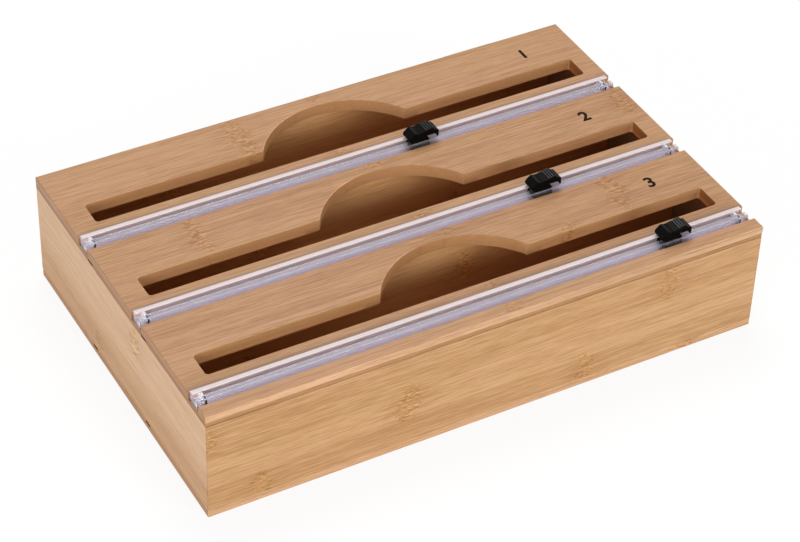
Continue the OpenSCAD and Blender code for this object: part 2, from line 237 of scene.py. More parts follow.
def pale_floor():
    half = FLOOR_SIZE / 2
    mesh = bpy.data.meshes.new("floor")
    mesh.from_pydata([(-half, -half, 0), (half, -half, 0), (half, half, 0), (-half, half, 0)], [], [(0, 1, 2, 3)])
    floor = bpy.data.objects.new("floor", mesh)
    bpy.context.collection.objects.link(floor)
    material, tree, surface = new_material("pale floor", Base_Color=FLOOR_COLOUR, Roughness=FLOOR_ROUGHNESS)
    glow = add(tree, "ShaderNodeEmission", {"Color": WHITE, "Strength": FLOOR_GLOW})
    share = calc(tree, "MULTIPLY", seen_directly(tree), 1.0 - FLOOR_SHADOW)
    mixed = add(tree, "ShaderNodeMixShader", {0: share, 1: surface.outputs[0], 2: glow.outputs[0]})
    tree.links.new(mixed.outputs[0], tree.nodes["Material Output"].inputs["Surface"])
    mesh.materials.append(material)


light_room()
soft_box("front soft box", (0.6, -2.2, 0.70), width=1.4, power=28)
soft_box("left soft box", (-2.1, -1.1, 0.60), width=1.4, power=30)
soft_box("high soft box", (0.2, 0.75, 2.0), width=1.2, power=26)
pale_floor()

# %% [markdown]
# ## Bamboo
#
# The boards are pressed from bamboo strips about 20 mm wide. Long straight fibres run the length of a strip, each
# strip has its own tone, and here and there is a culm ring: a band across the strip where the fibres waver and
# short brown flecks show. On a board's ends the same fibres are cut across and show as dense dark dots. The grain
# is needed on every board, so it is a node group that works in millimetres along, across and through a board.

# %% Culm ring group
BEND_RATES = (0.02, 0.10, 0.0)
RING_BEND = 16.0
RING_FADE = (0.52, 0.34)
TAIL_FADE = (0.50, 0.10)
TAIL_STRETCH = 3.5


def make_culm_ring():
    """Masks for one culm ring: the ring itself, which bends across the grain, and its tails along the grain."""
    tree, source, result = new_group(
        "Culm ring",
        {"Position": VECTOR, "Along": NUMBER, "Across": NUMBER, "Length": NUMBER, "Width": NUMBER},
        {"Ring": NUMBER, "Tail": NUMBER},
    )
    place = add(tree, "ShaderNodeSeparateXYZ", {"Vector": source.outputs["Position"]})
    along, across, through = place.outputs
    bend = noise(tree, stretched(tree, along, across, through, BEND_RATES))
    bent = calc(tree, "MULTIPLY_ADD", calc(tree, "SUBTRACT", bend, 0.5), RING_BEND, along)
    offsets = []
    for value, centre, size in ((bent, "Along", "Length"), (across, "Across", "Width")):
        offset = calc(tree, "SUBTRACT", value, source.outputs[centre])
        offsets.append(calc(tree, "DIVIDE", offset, source.outputs[size]))
    for socket, stretch, (start, end) in (("Ring", 1.0, RING_FADE), ("Tail", TAIL_STRETCH, TAIL_FADE)):
        flat = calc(tree, "DIVIDE", offsets[0], stretch)
        squares = calc(tree, "MULTIPLY_ADD", flat, flat, calc(tree, "MULTIPLY", offsets[1], offsets[1]))
        tree.links.new(fade(tree, calc(tree, "SQRT", squares), start, end), result.inputs[socket])
    return tree


culm_ring = make_culm_ring()
print("made the group", culm_ring.name)

# %% Layers of the grain
# Each layer of noise has its rates of change along, across and through a board, per millimetre.
WAVE_RATES = (0.12, 0.25, 0.25)
BROAD_RATES = (0.0035, 0.11, 0.11)
STREAK_RATES = (0.018, 0.80, 0.80)
FIBRE_RATES = (0.075, 2.6, 2.6)
WARMTH_RATES = (0.006, 0.36, 0.36)
SPECK_RATES = (0.34, 1.05, 1.05)
PORE_RATES = (0.02, 2.2, 2.2)

# Shares of the layers in a board's tone, and how far fibres sway, in millimetres.
LOT_SHARE, BROAD_SHARE, STREAK_SHARE, FIBRE_SHARE = 0.14, 0.30, 0.70, 1.05
TAIL_LEVEL, TAIL_SHARE = 0.62, 0.8
SWAY, RING_SWAY = 0.6, 2.2
STRIP_SHIFT = 53.0

# Where a layer's noise starts to show, and where it shows in full.
WARMTH_FADE = (0.36, 0.64)
DARK_FLECK_FADE = (0.515, 0.60)
LIGHT_FLECK_FADE = (0.475, 0.39)
SEAM_FADE = (0.014, 0.0)
PORE_FADE = (0.42, 0.12)
print("fibres change", round(FIBRE_RATES[1] / FIBRE_RATES[0]), "times as fast across a board as along it")

# %% Bamboo grain group


def make_bamboo_grain():
    """Tone, flecks, strip seams and end grain of pressed bamboo, from a place on a board in millimetres."""
    tree, source, result = new_group(
        "Bamboo grain",
        {name: NUMBER for name in ("Rings", "Tails", "Strip width", "Contrast", "Seed")} | {"Position": VECTOR},
        {name: NUMBER for name in ("Tone", "Fibre", "Warmth", "Dark fleck", "Light fleck", "Seam", "Pore")},
    )
    rings, seed = source.outputs["Rings"], source.outputs["Seed"]
    place = add(tree, "ShaderNodeSeparateXYZ", {"Vector": source.outputs["Position"]})
    along, across, through = place.outputs
    strips = calc(tree, "DIVIDE", across, source.outputs["Strip width"])
    strip = add(tree, "ShaderNodeCombineXYZ", {"X": calc(tree, "FLOOR", strips), "Y": seed}).outputs[0]
    lot = add(tree, "ShaderNodeTexWhiteNoise", {"Vector": strip}, noise_dimensions="2D").outputs["Value"]
    shift = calc(tree, "MULTIPLY_ADD", lot, STRIP_SHIFT, seed)

    wave = noise(tree, stretched(tree, along, across, through, WAVE_RATES, seed), detail=1.0)
    reach = calc(tree, "MULTIPLY_ADD", rings, RING_SWAY, SWAY)
    swayed = calc(tree, "ADD", across, calc(tree, "MULTIPLY", calc(tree, "SUBTRACT", wave, 0.5), reach))

    def swaying(rates, **look):
        """Noise that follows the swaying fibres of a strip."""
        return noise(tree, stretched(tree, along, swayed, through, rates, shift), **look)

    broad = swaying(BROAD_RATES, detail=2.0)
    streak = swaying(STREAK_RATES, detail=3.0)
    fibre = swaying(FIBRE_RATES, detail=3.0, roughness=0.6)
    warmth = swaying(WARMTH_RATES, detail=2.0)
    specks = swaying(SPECK_RATES, detail=1.5, roughness=0.6)

    tone = 0.0
    for value, share in ((lot, LOT_SHARE), (broad, BROAD_SHARE), (streak, STREAK_SHARE), (fibre, FIBRE_SHARE)):
        tone = calc(tree, "ADD", tone, calc(tree, "MULTIPLY", calc(tree, "SUBTRACT", value, 0.5), share))
    tone = calc(tree, "MULTIPLY_ADD", tone, source.outputs["Contrast"], 0.5)
    tail = calc(tree, "MULTIPLY", source.outputs["Tails"], calc(tree, "SUBTRACT", fibre, TAIL_LEVEL))
    tone = calc(tree, "MULTIPLY_ADD", tail, TAIL_SHARE, tone)
    edge = calc(tree, "PINGPONG", strips, 0.5)
    dots = stretched(tree, along, across, through, PORE_RATES, seed)
    pores = add(tree, "ShaderNodeTexVoronoi", {"Vector": dots, "Scale": 1.0}).outputs["Distance"]

    made = {
        "Tone": tone,
        "Fibre": fibre,
        "Warmth": fade(tree, warmth, *WARMTH_FADE),
        "Dark fleck": calc(tree, "MULTIPLY", fade(tree, specks, *DARK_FLECK_FADE), rings),
        "Light fleck": calc(tree, "MULTIPLY", fade(tree, specks, *LIGHT_FLECK_FADE), rings),
        "Seam": fade(tree, edge, *SEAM_FADE),
        "Pore": fade(tree, pores, *PORE_FADE),
    }
    for name, value in made.items():
        tree.links.new(value, result.inputs[name])
    return tree


bamboo_grain = make_bamboo_grain()
print("made the group", bamboo_grain.name, "with", len(bamboo_grain.nodes), "nodes")

# %% [markdown]
# ## Bamboo on a board
#
# Each board gets a bamboo material of its own, because its grain runs its own way and its culm rings lie at their
# own places. The grain follows the board's object coordinates, so it runs over the edges and into the slots as
# it does in solid wood. Some faces of a board get a tint, and many of these tints are painted light and shade:
# painted highlights and shade on the rims, painted shade in the rebate, the slots and the bays, and painted shadows
# beside the rails. Routed walls are made lighter. A face is picked by where it lies and which way it looks, so the
# board stays one mesh with one material. Routed walls also get a calmer grain.

# %% Tinted faces


def face_mask(tree, where, limits):
    """1 on some faces. Each limit names a vector, an axis and where its fade runs."""
    mask = 1.0
    for vector, axis, start, end in limits:
        value = where[vector].outputs[axis[-1]]
        if axis.startswith("|"):
            value = calc(tree, "ABSOLUTE", value)
        mask = calc(tree, "MULTIPLY", mask, fade(tree, value, start, end))
    return mask


def tint_faces(tree, colour, where, limits, tint):
    """Multiplies a colour by a tint on some faces."""
    return blend_colour(tree, face_mask(tree, where, limits), colour, tint, "MULTIPLY")


print("faces can be tinted by place and direction")

# %% Bamboo material
STRIP_WIDTH = 21.0
CALM_SHARE = 0.7
TONE_ENDS = (0.28, 0.72)
SEAM_SHARE = 0.30
CUT_ACROSS_FADE = (0.88, 0.96)
PORE_SHARE = 0.35
END_STREAKS = 0.25
LACQUER_ROUGHNESS = (0.40, 0.56)
FLECK_RELIEF = -0.5
GRAIN_RELIEF = 0.06
GRAIN_BUMP = 0.25
DARK_FLECK_TINT = (0.77, 0.69, 0.58, 1.0)
LIGHT_FLECK_TINT = (1.18, 1.21, 1.17, 1.0)
RING_TINT = (1.0, 0.975, 0.92, 1.0)
GOLDEN_TINT = (0.985, 1.0, 0.945, 1.0)
PINK_TINT = (1.015, 0.99, 1.04, 1.0)
PORE_SHADE = (0.235, 0.105, 0.045, 1.0)
CUT_SHADE = (0.385, 0.183, 0.074, 1.0)


def bamboo(name, grain_axes, seed, shades, rings, tints=(), contrast=1.0, calm=()):
    """Pressed bamboo. grain_axes names the axes along, across and through the board, such as XZY."""
    material, tree, surface = new_material(name, Specular_IOR_Level=0.35)
    space = add(tree, "ShaderNodeTexCoord")
    scaled = add(tree, "ShaderNodeVectorMath", {0: space.outputs["Object"], "Scale": 1 / MM}, operation="SCALE")
    where = {
        "place": add(tree, "ShaderNodeSeparateXYZ", {"Vector": scaled.outputs[0]}),
        "facing": add(tree, "ShaderNodeSeparateXYZ", {"Vector": space.outputs["Normal"]}),
    }
    ordered = {slot: where["place"].outputs[axis] for slot, axis in zip("XYZ", grain_axes)}
    position = add(tree, "ShaderNodeCombineXYZ", ordered).outputs[0]

    ring_mask, tail_mask = 0.0, 0.0
    for along, across, length, width in rings:
        values = {"Position": position, "Along": along, "Across": across, "Length": length, "Width": width}
        masks = use_group(tree, culm_ring, values)
        ring_mask = calc(tree, "MAXIMUM", ring_mask, masks["Ring"])
        tail_mask = calc(tree, "MAXIMUM", tail_mask, masks["Tail"])
    if calm:
        contrast = calc(tree, "MULTIPLY_ADD", face_mask(tree, where, calm), -CALM_SHARE * contrast, contrast)
    values = {"Position": position, "Rings": ring_mask, "Tails": tail_mask}
    values |= {"Strip width": STRIP_WIDTH, "Contrast": contrast, "Seed": seed}
    grain = use_group(tree, bamboo_grain, values)

    dark, middle, light = shades
    ramp = add(tree, "ShaderNodeValToRGB", {"Fac": grain["Tone"]})
    for stop, place, shade in zip(ramp.color_ramp.elements, TONE_ENDS, (dark, light)):
        stop.position = place
        stop.color = shade
    ramp.color_ramp.elements.new(0.5).color = middle
    blush = blend_colour(tree, grain["Warmth"], GOLDEN_TINT, PINK_TINT)
    colour = blend_colour(tree, 1.0, ramp.outputs["Color"], blush, "MULTIPLY")
    colour = blend_colour(tree, ring_mask, colour, RING_TINT, "MULTIPLY")
    colour = blend_colour(tree, grain["Dark fleck"], colour, DARK_FLECK_TINT, "MULTIPLY")
    colour = blend_colour(tree, grain["Light fleck"], colour, LIGHT_FLECK_TINT, "MULTIPLY")
    colour = blend_colour(tree, calc(tree, "MULTIPLY", grain["Seam"], SEAM_SHARE), colour, dark)

    facing = where["facing"].outputs[grain_axes[0]]
    cut_across = fade(tree, calc(tree, "ABSOLUTE", facing), *CUT_ACROSS_FADE)
    dots = blend_colour(tree, calc(tree, "MULTIPLY", grain["Pore"], PORE_SHARE), CUT_SHADE, PORE_SHADE)
    end_grain = blend_colour(tree, END_STREAKS, dots, colour)
    colour = blend_colour(tree, cut_across, colour, end_grain)
    for limits, tint in tints:
        colour = tint_faces(tree, colour, where, limits, tint)
    tree.links.new(colour, surface.inputs["Base Color"])

    least, most = LACQUER_ROUGHNESS
    sheen = add(tree, "ShaderNodeMapRange", {"Value": grain["Fibre"], "To Min": least, "To Max": most})
    tree.links.new(sheen.outputs["Result"], surface.inputs["Roughness"])
    relief = calc(tree, "MULTIPLY_ADD", grain["Dark fleck"], FLECK_RELIEF, grain["Fibre"])
    bump = add(tree, "ShaderNodeBump", {"Height": relief, "Strength": GRAIN_BUMP, "Distance": GRAIN_RELIEF * MM})
    tree.links.new(bump.outputs["Normal"], surface.inputs["Normal"])
    return material


print("bamboo strips are", STRIP_WIDTH, "mm wide")

# %% Faces of the lid
lid_low, lid_high = (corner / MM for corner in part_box("lid_board"))
rebate_top = lid_low.z + 3.2
back_strip = lid_high.y - 5.0

# A limit is a vector, its axis, where its fade starts and where it is full. Several limits together pick a face.
UPRIGHT = ("facing", "|Z", 0.60, 0.30)
FRONT_FACE = ("facing", "Y", -0.50, -0.80)
TOP_FACE = ("facing", "Z", 0.85, 0.97)
LEFT_LOOKING = ("facing", "X", -0.80, -0.95)
INSIDE_ENDS = ("place", "|X", lid_high.x - 0.3, lid_high.x - 0.6)
BESIDE_ARCHES = ("place", "|X", 56.0, 60.0)
LOWER_PART = ("place", "Z", lid_low.z + 4.0, lid_low.z + 0.5)
LOWER_STRIP = ("place", "Z", lid_low.z + 3.4, lid_low.z + 2.8)
ABOVE_REBATE = ("place", "Z", rebate_top - 0.2, rebate_top + 0.1)
BELOW_REBATE = ("place", "Z", rebate_top + 0.1, rebate_top - 0.2)
ROUTED_WALLS = (UPRIGHT, INSIDE_ENDS, ("place", "|Y", lid_high.y - 1.0, lid_high.y - 1.3))
SLOT_RIGHT_ENDS = (LEFT_LOOKING, INSIDE_ENDS, ("place", "X", 100.0, 140.0))
FRONT_EDGE = (FRONT_FACE, ABOVE_REBATE, ("place", "Y", lid_low.y + 0.4, lid_low.y + 0.2))
FRONT_REBATE = (FRONT_FACE, BELOW_REBATE, ("place", "Y", lid_low.y + 0.9, lid_low.y + 0.7))
BACK_STRIP = (TOP_FACE, ("place", "Y", back_strip, back_strip + 0.8))
SANDED_RIM = (("facing", "Z", 0.20, 0.40), ("facing", "Z", 0.985, 0.93))
# Rims that look to the right get a painted highlight, and rims that look to the left get painted shade.
RIM_PAINTED_HIGHLIGHT = (*SANDED_RIM, INSIDE_ENDS, ("facing", "X", -0.02, 0.25))
RIM_PAINTED_SHADE = (*SANDED_RIM, INSIDE_ENDS, ("facing", "X", -0.05, -0.30))
LID_LEFT_END = (("facing", "X", -0.50, -0.80), ("place", "X", lid_low.x + 0.8, lid_low.x + 0.5))
print("the lid's rebate ends at", round(rebate_top, 1), "mm")

# %% Tints of the lid
HOUSING_TINT = (0.22, 0.15, 0.11, 1.0)
# Painted shadow of each rail on the lid behind it, lilac as if the light came through the clear plastic.
RAIL_PAINTED_SHADOW_TINT = (0.76, 0.86, 1.04, 1.0)
# Painted shadow line on the lid in front of each rail.
PAINTED_SHADOW_LINE_TINT = (0.90, 0.89, 0.86, 1.0)
LID_TINTS = (
    (ROUTED_WALLS, (1.16, 1.12, 1.01, 1.0)),
    # Painted light: the lower part of the routed slot walls, away from the arches, is made lighter.
    ((*ROUTED_WALLS, BESIDE_ARCHES, LOWER_PART), (1.38, 1.36, 1.40, 1.0)),
    # Painted shade: the right ends of the slots are darker, with painted light on their lower part.
    (SLOT_RIGHT_ENDS, (0.70, 0.55, 0.42, 1.0)),
    ((*SLOT_RIGHT_ENDS, LOWER_PART), (1.30, 1.30, 1.35, 1.0)),
    (FRONT_EDGE, (1.24, 1.35, 1.50, 1.0)),
    # Painted shade in the rebate under the lid's front edge.
    (FRONT_REBATE, (0.77, 0.75, 0.64, 1.0)),
    (BACK_STRIP, (0.93, 0.91, 0.85, 1.0)),
    (SANDED_RIM, (1.0, 1.0, 0.98, 1.0)),
    # Painted highlight on rims that look to the right, painted shade on rims that look to the left.
    (RIM_PAINTED_HIGHLIGHT, (1.62, 1.66, 1.74, 1.0)),
    (RIM_PAINTED_SHADE, (0.78, 0.74, 0.68, 1.0)),
    (LID_LEFT_END, (0.96, 0.90, 0.80, 1.0)),
    # Painted shade along the lowest strip of the lid's left end, by the seam over the end panel.
    ((*LID_LEFT_END, LOWER_STRIP), (0.80, 0.78, 0.72, 1.0)),
)
for bay in BAYS:
    front, back = (corner.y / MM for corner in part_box(f"rail_{bay}"))
    # Painted shadow on the lid behind the rail.
    painted_rail_shadow = (TOP_FACE, ("place", "Y", back, back + 0.5), ("place", "Y", back + 4.0, back + 2.8))
    # Painted shadow line in front of the rail.
    painted_shadow_line = (TOP_FACE, ("place", "Y", front - 6.6, front - 5.9), ("place", "Y", front - 4.8, front - 5.5))
    LID_TINTS += ((painted_rail_shadow, RAIL_PAINTED_SHADOW_TINT), (painted_shadow_line, PAINTED_SHADOW_LINE_TINT))

# The housings of the dividers show as dark marks on the ends.
divider_near, divider_far = (corner.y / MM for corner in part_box("rear_divider"))
BY_DIVIDERS = (
    ("place", "|Y", divider_near - 0.8, divider_near - 0.4),
    ("place", "|Y", divider_far + 0.8, divider_far + 0.4),
)
OVER_ENDS = (("place", "|X", lid_high.x - 9.5, lid_high.x - 8.5), ("facing", "|X", 0.6, 0.4))
LID_HOUSINGS = (
    *BY_DIVIDERS, *OVER_ENDS,
    ("place", "Z", lid_low.z + 0.1, lid_low.z + 0.3), ("place", "Z", lid_low.z + 2.4, lid_low.z + 2.1),
)
LID_TINTS += ((LID_HOUSINGS, HOUSING_TINT),)
print(len(LID_TINTS), "tints on the lid")

# %% Tints of the box
base_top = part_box("base_board")[1].z / MM
wall_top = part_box("left_end")[1].z / MM
BASE_HOUSINGS = (
    *BY_DIVIDERS, *OVER_ENDS,
    ("place", "Z", base_top - 0.1, base_top - 0.3), ("place", "Z", base_top - 2.4, base_top - 2.1),
)
END_HOUSINGS = (*BY_DIVIDERS, ("facing", "|Z", 0.8, 0.95), ("place", "|X", lid_high.x - 4.0, lid_high.x - 3.5))
TOWARDS_BASE = ("place", "Z", 46.0, 16.0)
TOWARDS_LID = ("place", "Z", 40.0, 61.0)
TOWARDS_RIGHT = ("place", "X", -30.0, 80.0)
TOP_EDGE = ("place", "Z", wall_top - 1.3, wall_top - 0.7)
BASE_TINTS = (
    ((FRONT_FACE,), (1.15, 1.18, 1.35, 1.0)),
    (BASE_HOUSINGS, HOUSING_TINT),
)
LEFT_END_TINTS = (
    (END_HOUSINGS, HOUSING_TINT),
    ((TOWARDS_BASE,), (0.82, 0.72, 0.58, 1.0)),
    # Painted highlight along the top edge of the end panels.
    ((TOP_EDGE,), (1.12, 1.13, 1.15, 1.0)),
)
RIGHT_END_TINTS = (
    *LEFT_END_TINTS,
    # Painted shade on the inner face of the right end.
    ((LEFT_LOOKING,), (0.36, 0.24, 0.19, 1.0)),
)
# Painted light and shade in the bays: front-looking faces redder, lighter towards the lid, darker to the right.
BAY_PAINTED_LIGHT_TINTS = (
    ((FRONT_FACE,), (1.26, 1.03, 0.90, 1.0)),
    ((FRONT_FACE, TOWARDS_LID), (1.28, 1.62, 1.86, 1.0)),
    ((FRONT_FACE, TOWARDS_RIGHT), (0.80, 0.67, 0.58, 1.0)),
)
print("tints for the base, the ends and the insides of the bays")

# %% Culm rings
# Each ring has its place along and across the board, and its length and width, in millimetres.
LID_RINGS = (
    (-55, 98, 17, 46), (-118, 24, 13, 44), (120, -49, 15, 44), (173, 24, 12, 34), (77, -66, 12, 12), (2, 114, 12, 10),
    (-8, 57, 14, 9), (5, 37, 14, 8), (7, -17, 14, 9), (12, -37, 14, 8), (13, -91, 14, 9), (13, -113, 14, 8),
)
FRONT_RINGS = ((-55, 33, 17, 33), (-147, 12, 13, 24), (62, 13, 12, 26), (117, 57, 15, 30), (-178, 56, 10, 20))
BACK_RINGS = ((-96, 41, 17, 32), (38, 20, 14, 26), (141, 50, 15, 24))
LEFT_RINGS = ((-24, 54, 14, 26), (31, 12, 14, 22))
RIGHT_RINGS = ((46, 40, 14, 26), (-70, 22, 14, 22))
REAR_INNER_RINGS = ((-70, 40, 16, 28), (60, 30, 14, 24))
FRONT_INNER_RINGS = ((24, 48, 16, 28), (-120, 24, 14, 24))
BASE_RINGS = ((132, -116, 14, 24), (-80, 60, 16, 36), (30, -20, 15, 36), (-140, -70, 15, 30))
print(len(LID_RINGS), "culm rings on the lid and", len(FRONT_RINGS), "on the front")

# %% Boards of bamboo
# The shades of a board are its darkest, middle and lightest fibres.
LID_SHADES = ((0.390, 0.195, 0.088, 1.0), (0.505, 0.268, 0.128, 1.0), (0.570, 0.320, 0.166, 1.0))
WALL_SHADES = ((0.41, 0.208, 0.077, 1.0), (0.522, 0.293, 0.127, 1.0), (0.600, 0.361, 0.178, 1.0))
END_SHADES = ((0.55, 0.328, 0.170, 1.0), (0.655, 0.418, 0.242, 1.0), (0.740, 0.497, 0.313, 1.0))
bamboo_of_node = {
    "lid_board": bamboo(
        "bamboo lid", "XYZ", 3.0, LID_SHADES, LID_RINGS, LID_TINTS, contrast=1.3, calm=ROUTED_WALLS),
    "front_wall": bamboo("bamboo front", "XZY", 11.0, WALL_SHADES, FRONT_RINGS, contrast=1.1),
    "back_wall": bamboo("bamboo back", "XZY", 17.0, WALL_SHADES, BACK_RINGS, BAY_PAINTED_LIGHT_TINTS, contrast=0.85),
    "left_end": bamboo("bamboo left end", "YZX", 23.0, END_SHADES, LEFT_RINGS, LEFT_END_TINTS),
    "right_end": bamboo("bamboo right end", "YZX", 29.0, END_SHADES, RIGHT_RINGS, RIGHT_END_TINTS),
    "rear_divider": bamboo(
        "bamboo rear divider", "XZY", 37.0, WALL_SHADES, REAR_INNER_RINGS, BAY_PAINTED_LIGHT_TINTS, contrast=0.75),
    "front_divider": bamboo(
        "bamboo front divider", "XZY", 41.0, WALL_SHADES, FRONT_INNER_RINGS, BAY_PAINTED_LIGHT_TINTS, contrast=0.75),
    "base_board": bamboo("bamboo base", "XYZ", 47.0, WALL_SHADES, BASE_RINGS, BASE_TINTS),
}
print(len(bamboo_of_node), "bamboo materials")

# %% [markdown]
# ## Softened boards
#
# The boards are cut square in the CAD model. On the real box the edges are sanded, so they show as thin light
# lines. A copy of each board is merged into one skin and gets a narrow bevel, and weighted normals keep its faces
# flat. Blender narrows all bevels of a mesh to what its smallest step allows, which leaves next to nothing on the
# lid. So only the rims of the lid's top are marked for the bevel, at full width, and its other edges stay sharp.
# The copy stands for the CAD node, which stays in the simulation.

# %% Softened copies
MERGE_DISTANCE = 0.001
FLAT_ANGLE = 0.5
SHARP_ANGLE = 40
EDGE_SEGMENTS = 2


def plain_mesh(piece):
    """Applies a piece's modifiers, by taking its evaluated mesh."""
    graph = bpy.context.evaluated_depsgraph_get()
    mesh = bpy.data.meshes.new_from_object(piece.evaluated_get(graph), depsgraph=graph)
    piece.modifiers.clear()
    piece.data = mesh


def softened(node, width, material, mark=None):
    """A copy of a CAD node with its sharp or marked edges rounded to a width in millimetres, in its place."""
    mesh = nodes[node].data.copy()
    skin = bmesh.new()
    skin.from_mesh(mesh)
    bmesh.ops.remove_doubles(skin, verts=skin.verts, dist=MERGE_DISTANCE * MM)
    bmesh.ops.dissolve_limit(skin, angle_limit=math.radians(FLAT_ANGLE), verts=skin.verts, edges=skin.edges)
    for face in skin.faces:
        face.smooth = True
    if mark:
        mark(skin)
    skin.to_mesh(mesh)
    skin.free()
    mesh.materials.clear()
    mesh.materials.append(material)
    piece = bpy.data.objects.new(node + "_finished", mesh)
    bpy.context.collection.objects.link(piece)
    bevel = piece.modifiers.new("sanded edges", "BEVEL")
    bevel.width = width * MM
    bevel.segments = EDGE_SEGMENTS
    bevel.limit_method = "WEIGHT" if mark else "ANGLE"
    bevel.angle_limit = math.radians(SHARP_ANGLE)
    bevel.use_clamp_overlap = not mark
    bevel.loop_slide = not mark
    piece.modifiers.new("flat faces", "WEIGHTED_NORMAL").keep_sharp = True
    plain_mesh(piece)
    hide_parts(node)
    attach(piece, body_of_node[node])
    return piece


print("edges past", SHARP_ANGLE, "degrees get softened")

# %% Boards with sanded edges
LID_EDGE, BASE_EDGE, DIVIDER_EDGE, WALL_EDGE = 0.5, 0.6, 0.5, 0.4
RIM_LEVEL = 0.01
GROOVE_MARGIN = 1.0


def mark_rims(skin):
    """Marks the rims of the lid's top for the bevel, apart from the rails' grooves, and keeps other edges sharp."""
    weight = skin.edges.layers.float.new("bevel_weight_edge")
    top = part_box("lid_board")[1].z - RIM_LEVEL * MM
    margin = GROOVE_MARGIN * MM
    grooves = [[corner.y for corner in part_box(f"rail_{bay}")] for bay in BAYS]
    for edge in skin.edges:
        if edge.calc_face_angle(0.0) > math.radians(SHARP_ANGLE):
            first, second = (corner.co for corner in edge.verts)
            middle = (first.y + second.y) / 2
            by_rail = any(low - margin < middle < high + margin for low, high in grooves)
            edge.smooth = min(first.z, second.z) > top and not by_rail
            edge[weight] = float(edge.smooth)


board_edge = {
    "lid_board": LID_EDGE, "base_board": BASE_EDGE, "rear_divider": DIVIDER_EDGE, "front_divider": DIVIDER_EDGE}
for node, material in bamboo_of_node.items():
    mark = mark_rims if node == "lid_board" else None
    board = softened(node, board_edge.get(node, WALL_EDGE), material, mark)
    print(board.name, len(board.data.polygons), "faces")

# %% [markdown]
# ## Clear rails, tape and stops
#
# A rail is an extruded channel of clear plastic on a strip of white foam tape. Its front wall and front lip let most
# light through, so the black shoe of a cutter shows behind them. One clear material doesn't show the rest of its
# look, so the other faces get plastics of their own, which carry painted light: the back lip and the inside of the
# back wall are milky, partly the real haze of the plastic and partly a painted reflection of the bright room; the
# floor over the tape is lilac, the painted look of the shaded tape; and the front edge is darker, painted shade
# over its glint. The clear, milky and lilac plastics also get painted shade low down in the rail. Faint draw lines
# along a rail come from stretched noise.

# %% Rail plastic
PLASTIC_IOR = 1.49
RAIL_SHINE = 0.25
RAIL_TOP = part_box("rail_1")[1].z - 0.3 * MM
RAIL_DEEP = RAIL_TOP - 2.4 * MM
DRAW_LINE_RATES = (9.0, 2600.0, 2600.0)
DRAW_LINE_SHARE = 0.10
DRAW_LINE_SHADE = (0.50, 0.46, 0.54, 1.0)


def rail_plastic(name, top_shade, painted_low_shade, haze, transmission):
    """Extruded plastic with painted shade deep in the rail, and faint draw lines. haze gives its least and most
    roughness.
    """
    material, tree, surface = new_material(
        name, Transmission_Weight=transmission, IOR=PLASTIC_IOR, Specular_IOR_Level=RAIL_SHINE)
    where = add(tree, "ShaderNodeTexCoord")
    place = add(tree, "ShaderNodeSeparateXYZ", {"Vector": where.outputs["Object"]})
    # Painted shade: the plastic gets darker low down in the rail.
    shade = blend_colour(tree, fade(tree, place.outputs["Z"], RAIL_DEEP, RAIL_TOP), painted_low_shade, top_shade)
    lines = add(tree, "ShaderNodeMapping", {"Vector": where.outputs["Object"], "Scale": DRAW_LINE_RATES})
    draw = noise(tree, lines.outputs[0], 2.0)
    tint = blend_colour(tree, calc(tree, "MULTIPLY", draw, DRAW_LINE_SHARE), shade, DRAW_LINE_SHADE)
    tree.links.new(tint, surface.inputs["Base Color"])
    rough = add(tree, "ShaderNodeMapRange", {"Value": draw, "To Min": haze[0], "To Max": haze[1]})
    tree.links.new(rough.outputs["Result"], surface.inputs["Roughness"])
    return material


rail_clear = rail_plastic("clear plastic", (0.94, 0.94, 1.0, 1.0), (0.62, 0.60, 0.70, 1.0), (0.10, 0.16), 0.94)
# Milky plastic, partly real haze and partly a painted reflection of the bright room.
rail_milky_with_painted_reflection = rail_plastic("milky plastic with painted reflection", (0.93, 0.80, 0.79, 1.0), (0.84, 0.66, 0.62, 1.0), (0.22, 0.30), 0.15)
# Painted lilac: the look of the shaded tape seen through the rail's floor.
rail_painted_lilac = rail_plastic("lilac plastic with painted shade", (0.96, 0.90, 0.98, 1.0), (0.93, 0.84, 0.90, 1.0), (0.22, 0.30), 0.15)
# Painted shade on the rail's front edge, which dims its glint.
rail_painted_edge_shade = rail_plastic("edge plastic with painted shade", (0.60, 0.57, 0.66, 1.0), (0.60, 0.57, 0.66, 1.0), (0.34, 0.44), 0.94)
print("four plastics for the rails")

# %% Tape and moulded plastics
FOAM_CELLS = 1600.0
FOAM_SHADES = ((0.80, 0.775, 0.86, 1.0), (0.90, 0.88, 0.94, 1.0))
SPARK_RATE = 5200.0
CLOUD_RATE = 260.0


def foam_tape():
    material, tree, surface = new_material("foam tape", Roughness=0.85)
    where = add(tree, "ShaderNodeTexCoord")
    cells = add(tree, "ShaderNodeTexVoronoi", {"Vector": where.outputs["Object"], "Scale": FOAM_CELLS})
    tint = blend_colour(tree, cells.outputs["Distance"], *FOAM_SHADES)
    tree.links.new(tint, surface.inputs["Base Color"])
    bump = add(tree, "ShaderNodeBump", {"Height": cells.outputs["Distance"], "Strength": 0.3, "Distance": 0.1 * MM})
    tree.links.new(bump.outputs["Normal"], surface.inputs["Normal"])
    return material


